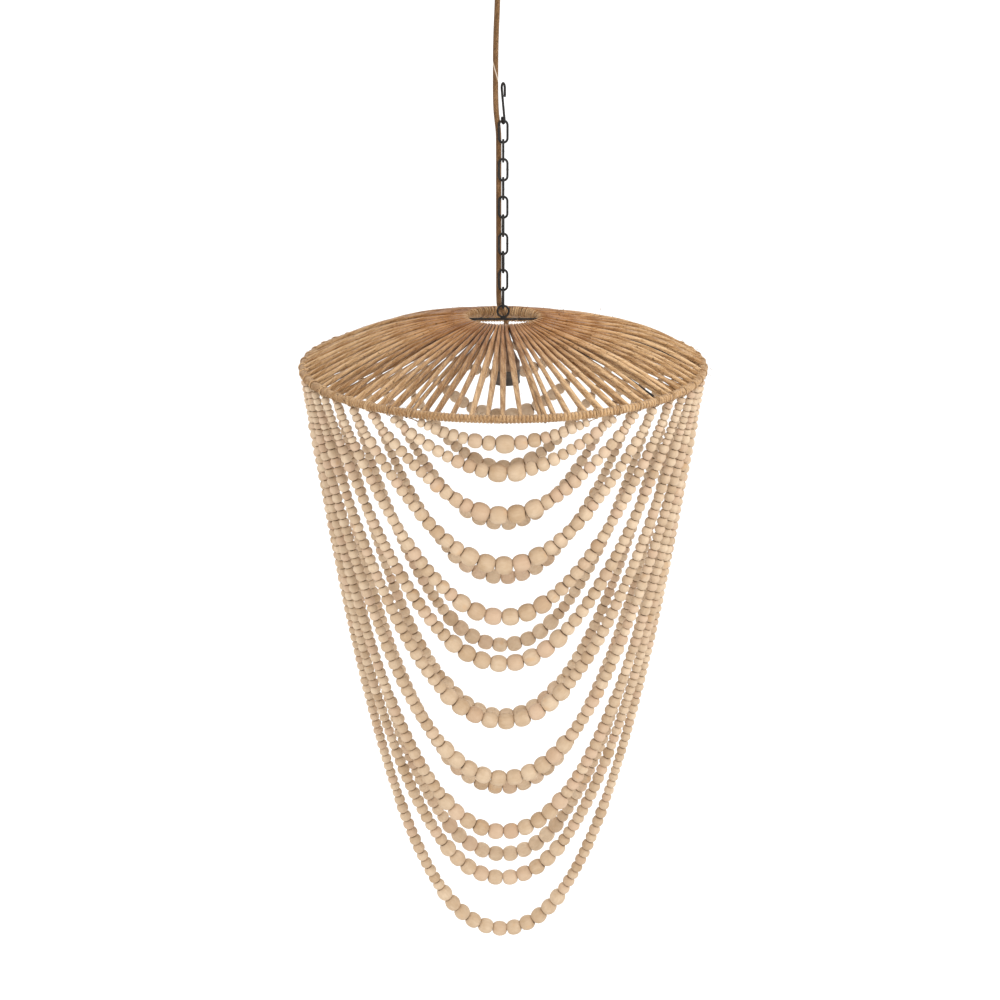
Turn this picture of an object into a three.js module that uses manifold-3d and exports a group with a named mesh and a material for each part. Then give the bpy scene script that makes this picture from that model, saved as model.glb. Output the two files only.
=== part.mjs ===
// Beaded chandelier: a wrapped iron frame hung from a chain, with strings of wooden beads looped below its rim.
// Millimetres, +Z up, the front faces -Y. The origin is where the S-hook bears on its ceiling hook.

import * as THREE from 'three';
import { mergeVertices } from 'three/addons/utils/BufferGeometryUtils.js';
import Module from 'manifold-3d';

const wasm = await Module();
wasm.setup();

// Clearances
const seatGap = 0.3;
const cutOverrun = 1;

// S-hook
const hookWire = 3.5;
const hookLength = 58;
const upperBendRadius = 6.4;
const lowerBendRadius = 5;
const hookTipDrop = 20;
const hookTurn = THREE.MathUtils.degToRad(20);
const hookCloseAngle = THREE.MathUtils.degToRad(35);

// Chain of long links, each turned a quarter turn from the last
const linkCount = 10;
const linkWire = 3.4;
const linkLength = 33.6;
const linkWidth = 15.6;

// Eye ring and the bar that it is welded to
const eyeWire = 3;
const eyeDiameter = 19.9;
const crossbarDiameter = 3.2;

// Frame: a small ring above a wide rim, joined by radial struts, all wrapped in jute
const rimDiameter = 610;
const rimWrapThickness = 12.5;
const rimWire = 6;
const topRingDiameter = 126;
const topWrapThickness = 11;
const topWire = 5;
const topRingRise = 65.5;
const strutWire = 4;
const strutCount = 10;
const firstStrutAngle = THREE.MathUtils.degToRad(10.5);
const strutLap = 2;

// Jute cords strung from the small ring to the rim
const webCordCount = 72;
const webCordAtRim = 5.6;
const webCordAtTop = 3.4;

// Bead strings: pairs that mirror each other front and back, and one across the middle
const stringPairs = 10;
const firstStringAngle = THREE.MathUtils.degToRad(24.1);
const longestDrop = 1032;
const dropShares = [0.041, 0.086, 0.152, 0.234, 0.324, 0.411, 0.523, 0.641, 0.76, 0.872, 1];
const largeBeadCounts = [1, 2, 4, 5, 6, 8, 9, 10, 10, 10, 11];
const largeBead = 26.5;
const largePitch = 25.5;
const mediumBead = 19.8;
const smallBead = 16.2;
const tinyBead = 12.6;
const tinyPitch = 9.2;
const longestMediumRun = 200;
const mediumRunShare = 0.34;
const longestTinyRun = 75;
const tinyRunShare = 0.15;
const stringThickness = 1.8;
const shortestStub = 3;

// Jute-covered lamp cord
const cordDiameter = 8;
const cordChainGap = 0.4;

// Ceiling canopy and the grip that the cord leaves it by
const canopyDiameter = 120;
const canopyDepth = 24;
const canopyWall = 1.5;
const canopyFlange = 8;
const canopyHeight = 138;
const gripDiameter = 12;
const gripTipDiameter = 10.6;
const gripReach = 22;
const gripCollar = 18;
const gripCollarHeight = 3;

// Lamp socket
const socketDiameter = 43;
const socketWall = 1.5;
const shellHeight = 22;
const capBandHeight = 12;
const capHeight = 33;
const capTopDiameter = 22;
const socketDrop = 34;
const insulatorHeight = 28;
const lampThread = 26;
const threadShellWall = 0.8;
const threadShellHeight = 22;
const contactDiameter = 8;
const contactThickness = 1.5;
const bushingHeight = 10;
const bushingWall = 1.4;

// Heights down the chain, worked out from where each piece hangs in the one above
const hookRadius = hookWire / 2;
const linkRadius = linkWire / 2;
const hookTop = hookWire;
const hookSeatHeight = hookTop - hookLength + hookWire;
const firstLinkHeight = hookSeatHeight + seatGap + linkWire - linkLength / 2;
const linkPitch = linkLength - 2 * linkWire - seatGap;
const linkHeight = (index) => firstLinkHeight - index * linkPitch;
const lastLinkSeat = linkHeight(linkCount - 1) - linkLength / 2 + linkWire;
const eyeHeight = lastLinkSeat + seatGap + eyeWire - eyeDiameter / 2;
const topRingHeight = eyeHeight - eyeDiameter / 2 - seatGap - crossbarDiameter / 2;
const rimHeight = topRingHeight - topRingRise;
const rimRadius = (rimDiameter - rimWrapThickness) / 2;
const topRingRadius = (topRingDiameter - topWrapThickness) / 2;
const knotHeight = rimHeight - rimWrapThickness / 2 - seatGap;
const cordRadius = cordDiameter / 2;
const cordSide = linkRadius + cordRadius + cordChainGap;

// Colours and finishes
const wood = new THREE.MeshStandardMaterial({ color: 0xd8b892, roughness: 0.75, metalness: 0 });
const jute = new THREE.MeshStandardMaterial({ color: 0xa9825a, roughness: 0.95, metalness: 0 });
const iron = new THREE.MeshStandardMaterial({ color: 0x2c2a29, roughness: 0.6, metalness: 0.7 });
const bronze = new THREE.MeshStandardMaterial({ color: 0x5b4332, roughness: 0.5, metalness: 0.6 });
const brass = new THREE.MeshStandardMaterial({ color: 0xb8924a, roughness: 0.35, metalness: 1 });
const phenolic = new THREE.MeshStandardMaterial({ color: 0x1f1c1a, roughness: 0.5, metalness: 0 });

const chandelier = new THREE.Group();

function addPiece(name, geometry, material, parent = chandelier) {
  const mesh = new THREE.Mesh(geometry, material);
  mesh.name = name;
  parent.add(mesh);
  return mesh;
}

// A shape turned about the Z axis from a closed outline of [radius, height] pairs, listed anticlockwise
function turned(outline, segments) {
  const points = [...outline, outline[0]].map(([radius, height]) => new THREE.Vector2(radius, height));
  return new THREE.LatheGeometry(points, segments).rotateX(Math.PI / 2);
}

// A round rod or cord along a curve
function rod(curve, radius, sides, steps) {
  const section = new THREE.Shape();
  for (let side = 0; side < sides; side += 1) {
    const angle = (2 * Math.PI * side) / sides;
    const corner = [radius * Math.cos(angle), radius * Math.sin(angle)];
    if (side === 0) {
      section.moveTo(...corner);
    } else {
      section.lineTo(...corner);
    }
  }
  return new THREE.ExtrudeGeometry(section, { steps, extrudePath: curve, bevelEnabled: false });
}

function straightRod(start, end, radius, sides) {
  return rod(new THREE.LineCurve3(start, end), radius, sides, 1);
}

// A closed skin over round sections along a line in an upright plane, parallel to XZ
function skinInPlane(stations, sides) {
  const corners = [];
  const faces = [];
  stations.forEach(({ across, up, slope, radius }) => {
    for (let corner = 0; corner < sides; corner += 1) {
      const angle = (2 * Math.PI * corner) / sides;
      const inPlane = radius * Math.cos(angle);
      corners.push(
        across - inPlane * Math.sin(slope),
        radius * Math.sin(angle),
        up + inPlane * Math.cos(slope),
      );
    }
  });
  for (let station = 0; station < stations.length - 1; station += 1) {
    for (let corner = 0; corner < sides; corner += 1) {
      const a = station * sides + corner;
      const b = station * sides + ((corner + 1) % sides);
      faces.push(a, a + sides, b, b, a + sides, b + sides);
    }
  }
  const last = (stations.length - 1) * sides;
  for (let corner = 1; corner < sides - 1; corner += 1) {
    faces.push(0, corner, corner + 1);
    faces.push(last, last + corner + 1, last + corner);
  }
  const geometry = new THREE.BufferGeometry();
  geometry.setAttribute('position', new THREE.Float32BufferAttribute(corners, 3));
  geometry.setIndex(faces);
  return geometry;
}

// Joining and cutting
function solidOf(geometry) {
  const bare = geometry.index ? geometry.toNonIndexed() : geometry.clone();
  bare.deleteAttribute('normal');
  bare.deleteAttribute('uv');
  const merged = mergeVertices(bare);
  const vertProperties = merged.attributes.position.array;
  const triVerts = new Uint32Array(merged.index.array);
  return new wasm.Manifold(new wasm.Mesh({ numProp: 3, vertProperties, triVerts }));
}

function geometryOf(solid) {
  const { vertProperties, triVerts } = solid.getMesh();
  const geometry = new THREE.BufferGeometry();
  geometry.setAttribute('position', new THREE.BufferAttribute(vertProperties, 3));
  geometry.setIndex(new THREE.BufferAttribute(triVerts, 1));
  return geometry.toNonIndexed();
}

// S-hook: one wire bent both ways in an upright plane, the lower bend nearly shut round the first link
{
  const upperCentre = hookTop - hookRadius - upperBendRadius;
  const lowerCentre = hookTop - hookLength + hookRadius + lowerBendRadius;
  const lean = Math.asin((upperBendRadius + lowerBendRadius) / (upperCentre - lowerCentre));
  const section = (across, up, slope) => ({ across, up, slope, radius: hookRadius });
  const bend = (centre, bendRadius, turn, slopes) => slopes.map((slope) => section(
    turn * bendRadius * Math.sin(slope),
    centre - turn * bendRadius * Math.cos(slope),
    slope,
  ));
  const turnShares = [0.2, 0.4, 0.6, 0.8, 1];
  const between = (from, to) => turnShares.map((share) => from + share * (to - from));
  const quarter = Math.PI / 2;
  const stations = [
    section(-upperBendRadius, hookTop - hookTipDrop, quarter),
    ...bend(upperCentre, upperBendRadius, -1, [quarter, ...between(quarter, 0), ...between(0, -quarter - lean)]),
    ...bend(lowerCentre, lowerBendRadius, 1, [
      -quarter - lean,
      ...between(-quarter - lean, 0),
      ...between(0, quarter + hookCloseAngle),
    ]),
  ];
  const hook = addPiece('s_hook', skinInPlane(stations, 8), iron);
  hook.rotation.z = Math.PI / 2 + hookTurn;
}

// Chain links: odd ones face the front, even ones are seen edge on
function chainLink() {
  const ringSteps = 10;
  const halfStep = Math.PI / ringSteps;
  const bendRadius = (linkWidth - linkWire) / 2 / Math.cos(halfStep);
  const halfStraight = (linkLength - linkWire) / 2 - bendRadius;
  const link = new THREE.TorusGeometry(bendRadius, linkRadius, 6, ringSteps);
  link.rotateZ(halfStep);
  link.rotateX(Math.PI / 2);
  const position = link.attributes.position;
  for (let index = 0; index < position.count; index += 1) {
    const height = position.getZ(index);
    position.setZ(index, height + Math.sign(height) * halfStraight);
  }
  return link;
}
for (let index = 0; index < linkCount; index += 1) {
  const number = String(index + 1).padStart(2, '0');
  const link = addPiece(`chain_link_${number}`, chainLink(), iron);
  link.position.z = linkHeight(index);
  link.rotation.z = index % 2 ? Math.PI / 2 : 0;
}

// Eye ring that the last link holds, and the bar across the small ring that it is welded to
const eyeRing = addPiece(
  'eye_ring',
  new THREE.TorusGeometry((eyeDiameter - eyeWire) / 2, eyeWire / 2, 6, 18).rotateX(Math.PI / 2),
  iron,
);
eyeRing.position.z = eyeHeight;
const crossbarReach = topRingRadius - topWire / 2 - seatGap;
function crossbarOf(radius, reach) {
  const start = new THREE.Vector3(-reach, 0, topRingHeight);
  const end = new THREE.Vector3(reach, 0, topRingHeight);
  return straightRod(start, end, radius, 8);
}
addPiece('crossbar', crossbarOf(crossbarDiameter / 2, crossbarReach), iron);

// Rings of the frame
function hoop(radius, thickness, height, sides, segments) {
  return new THREE.TorusGeometry(radius, thickness / 2, sides, segments).translate(0, 0, height);
}
const rimSegments = 60;
const topSegments = 24;
const wireSides = 6;
addPiece('rim_ring', hoop(rimRadius, rimWire, rimHeight, wireSides, rimSegments), iron);
addPiece('top_ring', hoop(topRingRadius, topWire, topRingHeight, wireSides, topSegments), iron);

// Struts lapped under both rings and welded there
const slopeLength = Math.hypot(rimRadius - topRingRadius, topRingRise);
const outward = (rimRadius - topRingRadius) / slopeLength;
const downward = topRingRise / slopeLength;
const strutOffset = (rimWire + strutWire) / 2 + seatGap;
function strutOf(angle, radius, lap) {
  const around = new THREE.Vector3(Math.sin(angle), -Math.cos(angle), 0);
  const place = (ringRadius, ringHeight, reach) => around
    .clone()
    .multiplyScalar(ringRadius - strutOffset * downward + reach * outward)
    .setZ(ringHeight - strutOffset * outward - reach * downward);
  const start = place(topRingRadius, topRingHeight, -lap);
  const end = place(rimRadius, rimHeight, lap);
  return straightRod(start, end, radius, wireSides);
}
const strutAngles = [];
for (let index = 0; index < strutCount; index += 1) {
  strutAngles.push(firstStrutAngle + (2 * Math.PI * index) / strutCount);
}
strutAngles.forEach((angle, index) => {
  const number = String(index + 1).padStart(2, '0');
  addPiece(`strut_${number}`, strutOf(angle, strutWire / 2, strutLap), iron);
});

// Jute shade: the cord is wound round both rings and strung between them, in one length
{
  const cords = [];
  const rimRoot = (rimWire + rimWrapThickness) / 4;
  const topRoot = (topWire + topWrapThickness) / 4;
  for (let index = 0; index < webCordCount; index += 1) {
    const cord = new THREE.CylinderGeometry(
      webCordAtRim / 2,
      webCordAtTop / 2,
      slopeLength - rimRoot - topRoot,
      3,
    );
    cord.rotateZ(-Math.PI / 2);
    cord.translate((topRoot - rimRoot) / 2, 0, 0);
    cord.rotateY(Math.asin(downward));
    cord.translate((rimRadius + topRingRadius) / 2, 0, (rimHeight + topRingHeight) / 2);
    cord.rotateZ((2 * Math.PI * (index + 0.5)) / webCordCount);
    cords.push(solidOf(cord));
  }
  const wraps = [
    solidOf(hoop(rimRadius, rimWrapThickness, rimHeight, 8, rimSegments)),
    solidOf(hoop(topRingRadius, topWrapThickness, topRingHeight, 8, topSegments)),
  ];
  const channelWidth = (wire) => (wire + 2 * seatGap) / Math.cos(Math.PI / wireSides);
  const channels = [
    solidOf(hoop(rimRadius, channelWidth(rimWire), rimHeight, wireSides, rimSegments)),
    solidOf(hoop(topRingRadius, channelWidth(topWire), topRingHeight, wireSides, topSegments)),
    solidOf(crossbarOf(channelWidth(crossbarDiameter) / 2, crossbarReach + seatGap)),
    ...strutAngles.map((angle) => solidOf(strutOf(angle, channelWidth(strutWire) / 2, strutLap + cutOverrun))),
  ];
  const shade = wasm.Manifold.union([...wraps, ...cords]).subtract(wasm.Manifold.union(channels));
  addPiece('jute_shade', geometryOf(shade), jute);
}

// How a string of beads hangs: its slope at any point is the weight of the beads below over one steady pull.
// Marches up from the lowest point and finds the pull with which the string meets its two knots, where it
// is tied straight up.
function hangString(halfSpan, drop, largeRun, mediumRun) {
  const marchSteps = 2000;
  const step = (halfSpan + drop) / marchSteps;
  const march = (pull) => {
    const places = [{ run: 0, across: 0, up: 0, slope: 0 }];
    let weight = 0;
    while (places.at(-1).up < drop) {
      const last = places.at(-1);
      const bead = last.run < largeRun ? largeBead : last.run < largeRun + mediumRun ? mediumBead : smallBead;
      weight += (bead / largeBead) ** 2 * step;
      const slope = Math.atan(weight / pull);
      places.push({
        run: last.run + step,
        across: last.across + step * Math.cos(slope),
        up: last.up + step * Math.sin(slope),
        slope,
      });
      if (last.across > 2 * halfSpan) {
        break;
      }
    }
    return places;
  };
  let weakest = halfSpan / marchSteps;
  let strongest = halfSpan * marchSteps;
  for (let round = 0; round < 50; round += 1) {
    const pull = Math.sqrt(weakest * strongest);
    if (march(pull).at(-1).across > halfSpan) {
      strongest = pull;
    } else {
      weakest = pull;
    }
  }
  const places = march(weakest);
  places.at(-1).slope = Math.PI / 2;
  return places;
}

function placeAt(places, run) {
  const step = places[1].run;
  const index = Math.min(Math.floor(run / step), places.length - 2);
  const share = run / step - index;
  const mix = (key) => places[index][key] + share * (places[index + 1][key] - places[index][key]);
  return { across: mix('across'), up: mix('up'), slope: mix('slope') };
}

// A whole string as stations from knot to knot, with its large beads formed one by one
function stringStations(places, largeCount, tinyRun) {
  const end = places.at(-1);
  const rings = [];
  const beadEndShare = 0.6;
  const firstBead = largeCount % 2 ? -0.5 : 0;
  for (let bead = 0; bead < Math.ceil(largeCount / 2); bead += 1) {
    const start = (firstBead + bead) * largePitch;
    if (start >= 0) {
      rings.push([start, (beadEndShare * largeBead) / 2]);
    }
    rings.push([start + largePitch / 2, largeBead / 2]);
  }
  const largeRun = (largeCount / 2) * largePitch;
  const tinyRadius = tinyBead / 2;
  const slopeAtKnot = places.at(-2).slope;
  const stub = Math.max(shortestStub, (tinyRadius + seatGap) / Math.sin(slopeAtKnot) - tinyPitch / 2);
  const beadsEnd = end.run - stub;
  const lastBead = beadsEnd - tinyPitch / 2;
  const sideSteps = 4;
  const sideShare = 0.93;
  for (let step = 0; step < sideSteps; step += 1) {
    const run = largeRun * (lastBead / largeRun) ** (step / sideSteps);
    const bead = step === 0 ? mediumBead * beadEndShare : step < 2 ? mediumBead : smallBead;
    rings.push([run, (sideShare * (run > lastBead - tinyRun ? tinyBead : bead)) / 2]);
  }
  rings.push([lastBead, (sideShare * tinyBead) / 2]);
  rings.push([beadsEnd, (beadEndShare * tinyBead) / 2]);
  rings.push([beadsEnd, stringThickness / 2]);
  rings.push([end.run, stringThickness / 2]);
  const half = rings.map(([run, radius]) => ({ ...placeAt(places, run), radius }));
  const otherHalf = half.map((station) => ({ ...station, across: -station.across, slope: -station.slope }));
  return [...otherHalf.reverse(), ...(largeCount % 2 ? half : half.slice(1))];
}

const stringAngleStep = (Math.PI / 2 - firstStringAngle) / stringPairs;
dropShares.forEach((dropShare, index) => {
  const angle = firstStringAngle + index * stringAngleStep;
  const halfSpan = rimRadius * Math.sin(angle);
  const forward = rimRadius * Math.cos(angle);
  const drop = knotHeight - rimHeight + longestDrop * dropShare;
  const largeRun = (largeBeadCounts[index] / 2) * largePitch;
  const sideRun = Math.hypot(halfSpan, drop) - largeRun;
  const mediumRun = Math.min(longestMediumRun, mediumRunShare * sideRun);
  const tinyRun = Math.min(longestTinyRun, tinyRunShare * sideRun);
  const places = hangString(halfSpan, drop, largeRun, mediumRun);
  const stations = stringStations(places, largeBeadCounts[index], tinyRun);
  const hangHeight = knotHeight - places.at(-1).up;
  const number = String(index + 1).padStart(2, '0');
  if (index === stringPairs) {
    const string = addPiece('bead_string_middle', skinInPlane(stations, 5), wood);
    string.position.z = hangHeight;
    return;
  }
  [['front', -forward], ['back', forward]].forEach(([side, depth]) => {
    const string = addPiece(`bead_string_${side}_${number}`, skinInPlane(stations, 5), wood);
    string.position.set(0, depth, hangHeight);
  });
});

// Lamp cord, as points chosen by hand: down from the canopy beside the hook, along the chain behind its
// links, round behind the eye ring and the crossbar, and down to the socket
const socketX = 4.6;
const socketY = cordSide;
const chainCordTop = -36;
const socketJointHeight = 60;
const cordTop = canopyHeight + canopyWall + gripCollarHeight + gripDiameter / 2;
const cordX = -8;
const vectors = (points) => points.map((point) => new THREE.Vector3(...point));
const upperRoute = vectors([
  [cordX, 0, cordTop],
  [cordX, 0, canopyHeight],
  [cordX, 0, canopyHeight - gripReach],
  [-8.6, 0.4, 98],
  [-9.8, 1, 72],
  [-10.6, 1.6, 44],
  [-10.8, 2.4, 15],
  [-10.8, 3.4, -12],
  [-10, 4.6, chainCordTop],
]);
const chainRoute = vectors([
  [-10, 4.6, chainCordTop - seatGap],
  [-8.4, 5.6, -51],
  [-cordSide - 0.4, cordSide, -66],
  [-cordSide, cordSide, -84],
  [-cordSide, cordSide, -130],
  [-cordSide, cordSide, -180],
  [-cordSide, cordSide, -230],
  [-cordSide, cordSide, -275],
  [-cordSide, cordSide, rimHeight + 103],
  [-cordSide - 0.1, 7.2, rimHeight + 94],
  [-5.9, 9.2, rimHeight + 87],
  [-4.4, 10.8, rimHeight + 81],
  [-0.8, 10.9, rimHeight + 76],
  [2.6, 8.7, rimHeight + 70.5],
  [socketX, socketY, rimHeight + socketJointHeight + cordRadius],
  [socketX, socketY, rimHeight + socketJointHeight + seatGap],
]);
const socketTop = rimHeight - socketDrop + shellHeight + seatGap + capHeight;
const lowerRoute = vectors([
  [socketX, socketY, rimHeight + socketJointHeight],
  [socketX, socketY, socketTop - bushingHeight],
]);
addPiece('lamp_cord_upper', rod(new THREE.CatmullRomCurve3(upperRoute), cordRadius, 8, 11), jute);
addPiece('lamp_cord_along_chain', rod(new THREE.CatmullRomCurve3(chainRoute), cordRadius, 8, 24), jute);
addPiece('lamp_cord_lower', rod(new THREE.CatmullRomCurve3(lowerRoute), cordRadius, 8, 2), jute);

// Ceiling canopy: a pressed dish below a collar whose flange closes on the ceiling, and its cord grip
{
  const outer = canopyDiameter / 2;
  const hole = gripDiameter / 2 + seatGap;
  const floorShare = 0.5;
  const shoulderShare = 0.87;
  const shoulder = outer * shoulderShare;
  const shoulderHeight = canopyDepth / 3;
  const sideHeight = (canopyDepth * 3) / 4;
  const seam = shoulderHeight + canopyWall;
  const dish = turned([
    [hole, 0],
    [outer * floorShare, 0],
    [shoulder, shoulderHeight],
    [shoulder, seam],
    [shoulder - canopyWall, seam],
    [outer * floorShare, canopyWall],
    [hole, canopyWall],
  ], 24);
  addPiece('canopy_dish', dish, iron).position.set(cordX, 0, canopyHeight);
  const collar = turned([
    [shoulder - canopyWall, seam + seatGap],
    [shoulder, seam + seatGap],
    [outer, sideHeight],
    [outer, canopyDepth],
    [outer - canopyFlange, canopyDepth],
    [outer - canopyFlange, canopyDepth - canopyWall],
    [outer - canopyWall, canopyDepth - canopyWall],
    [outer - canopyWall, sideHeight],
  ], 24);
  addPiece('canopy_collar', collar, iron).position.set(cordX, 0, canopyHeight);
  const bore = cordRadius + seatGap;
  const grip = turned([
    [bore, -gripReach],
    [gripTipDiameter / 2, -gripReach],
    [gripDiameter / 2, -gripDiameter],
    [gripDiameter / 2, canopyWall + seatGap],
    [gripCollar / 2, canopyWall + seatGap],
    [gripCollar / 2, canopyWall + gripCollarHeight],
    [bore, canopyWall + gripCollarHeight],
  ], 16);
  addPiece('canopy_cord_grip', grip, phenolic).position.set(cordX, 0, canopyHeight);
}

// Lamp socket, hung on the end of the cord
const socket = new THREE.Group();
socket.position.set(socketX, socketY, rimHeight - socketDrop);
chandelier.add(socket);
{
  const outer = socketDiameter / 2;
  const inner = outer - socketWall;
  const capStart = shellHeight + seatGap;
  const capEnd = capStart + capHeight;
  const cordHole = cordRadius + bushingWall + 2 * seatGap;
  const capTop = capTopDiameter / 2;
  const shell = turned([
    [inner, 0],
    [outer, 0],
    [outer, shellHeight],
    [inner, shellHeight],
  ], 20);
  addPiece('socket_shell', shell, iron, socket);
  const cap = turned([
    [inner, capStart],
    [outer, capStart],
    [outer, capStart + capBandHeight],
    [capTop, capEnd - socketWall],
    [capTop, capEnd],
    [cordHole, capEnd],
    [cordHole, capEnd - 2 * socketWall],
    [capTop - socketWall, capEnd - 2 * socketWall],
    [inner, capStart + capBandHeight],
  ], 20);
  addPiece('socket_cap', cap, bronze, socket);
  const pocket = lampThread / 2 + threadShellWall + seatGap;
  const pocketTop = socketWall + threadShellHeight + seatGap;
  const wireHole = contactDiameter / 4;
  const insulator = turned([
    [pocket, socketWall],
    [inner - seatGap, socketWall],
    [inner - seatGap, socketWall + insulatorHeight],
    [wireHole, socketWall + insulatorHeight],
    [wireHole, pocketTop],
    [pocket, pocketTop],
  ], 20);
  addPiece('socket_insulator', insulator, phenolic, socket);
  const threadShell = turned([
    [lampThread / 2, socketWall],
    [lampThread / 2 + threadShellWall, socketWall],
    [lampThread / 2 + threadShellWall, socketWall + threadShellHeight],
    [lampThread / 2, socketWall + threadShellHeight],
  ], 20);
  addPiece('socket_thread_shell', threadShell, brass, socket);
  const contact = new THREE.CylinderGeometry(contactDiameter / 2, contactDiameter / 2, contactThickness, 12);
  contact.rotateX(Math.PI / 2);
  contact.translate(0, 0, pocketTop - seatGap - contactThickness / 2);
  addPiece('socket_contact', contact, brass, socket);
  const bushingTop = capEnd + bushingHeight / 2;
  const bore = cordRadius + seatGap;
  const bushing = turned([
    [bore, bushingTop - bushingHeight],
    [bore + bushingWall, bushingTop - bushingHeight],
    [bore + bushingWall, bushingTop],
    [bore, bushingTop],
  ], 12);
  addPiece('socket_cord_bushing', bushing, phenolic, socket);
}

export default chandelier;
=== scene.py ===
import math
import random

import bmesh
import bpy
from mathutils import Matrix, Vector


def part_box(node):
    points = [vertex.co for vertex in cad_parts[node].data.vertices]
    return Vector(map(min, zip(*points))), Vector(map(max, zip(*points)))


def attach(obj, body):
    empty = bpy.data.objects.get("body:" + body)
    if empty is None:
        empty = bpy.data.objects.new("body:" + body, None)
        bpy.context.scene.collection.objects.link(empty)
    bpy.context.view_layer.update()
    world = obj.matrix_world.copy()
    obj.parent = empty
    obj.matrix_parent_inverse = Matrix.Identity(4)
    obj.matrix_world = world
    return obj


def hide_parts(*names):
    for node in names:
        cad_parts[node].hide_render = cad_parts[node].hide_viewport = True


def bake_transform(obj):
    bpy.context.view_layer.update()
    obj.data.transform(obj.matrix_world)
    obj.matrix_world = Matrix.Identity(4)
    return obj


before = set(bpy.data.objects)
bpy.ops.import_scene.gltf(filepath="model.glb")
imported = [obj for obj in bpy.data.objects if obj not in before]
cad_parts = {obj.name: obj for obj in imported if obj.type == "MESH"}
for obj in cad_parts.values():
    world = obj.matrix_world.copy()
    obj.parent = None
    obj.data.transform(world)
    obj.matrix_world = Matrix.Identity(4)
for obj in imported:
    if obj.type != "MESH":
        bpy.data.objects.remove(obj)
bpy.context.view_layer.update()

chance = random.Random(11)


# Camera: stands in front of the chain and looks a little down on the shade, as the photograph does.
# A lens of 48 mm from two metres away gives the photograph's slight perspective.
camera_aside = -0.0046
camera_distance = 1.9731
camera_rise = 0.5073
camera_dip = 20.291


def middle_height(node):
    """The height of a node's middle."""
    low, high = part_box(node)
    return (low.z + high.z) / 2


rim_height = middle_height("rim_ring")
camera = bpy.data.objects.new("camera", bpy.data.cameras.new("camera"))
bpy.context.scene.collection.objects.link(camera)
camera.location = (camera_aside, -camera_distance, rim_height + camera_rise)
camera.rotation_euler = (math.radians(90 - camera_dip), 0, 0)
camera.data.lens = 48.39
camera.data.sensor_width = 36
bpy.context.scene.camera = camera


# Lamp cord: a round mains lead in a braided jute cover, let down from the ceiling beside the chain, round
# behind the eye ring and the crossbar, and into the socket. The stretch beside the chain is cut into short
# pieces at the middles of the links.
cord_radius = 0.004
cord_side = 0.0061
chain_side = 0.0065
ceiling_aside = -0.0080
socket_aside = 0.0046
hook_level = -0.036
cord_foot = rim_height + 0.060
cover_lay = 10
braid_yarns = 8
braid_pitch = 0.0045
jute_tones = [(0.262, 0.136, 0.054), (0.415, 0.250, 0.118), (0.590, 0.395, 0.216)]
cord_tones = [(0.100, 0.048, 0.017), (0.192, 0.098, 0.039), (0.310, 0.178, 0.086)]
scuff_height = 0.0165
scuff_side = -0.0106
scuff_colour = (0.66, 0.56, 0.46)
cord_route = [
    (ceiling_aside, 0, 0.1485),
    (ceiling_aside, 0, 0.1380),
    (ceiling_aside, 0, 0.1160),
    (-0.0086, 0.0004, 0.0980),
    (-0.0098, 0.0010, 0.0720),
    (-0.0106, 0.0016, 0.0440),
    (-0.0108, 0.0024, 0.0150),
    (-0.0108, 0.0034, -0.0120),
    (-0.0100, 0.0046, hook_level),
    (-0.0084, 0.0056, -0.0510),
    (-0.0068, chain_side, -0.0660),
    (-chain_side, chain_side, -0.0840),
    (-chain_side, chain_side, -0.1300),
    (-chain_side, chain_side, -0.1800),
    (-chain_side, chain_side, -0.2300),
    (-chain_side, chain_side, -0.2750),
    (-chain_side, chain_side, rim_height + 0.1030),
    (-0.0062, 0.0072, rim_height + 0.0940),
    (-0.0059, 0.0092, rim_height + 0.0870),
    (-0.0044, 0.0108, rim_height + 0.0810),
    (-0.0008, 0.0109, rim_height + 0.0760),
    (0.0026, 0.0087, rim_height + 0.0705),
    (socket_aside, cord_side, rim_height + 0.0640),
    (socket_aside, cord_side, rim_height + 0.0500),
    (socket_aside, cord_side, rim_height + 0.0300),
    (socket_aside, cord_side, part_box("lamp_cord_lower")[0].z),
]


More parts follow.
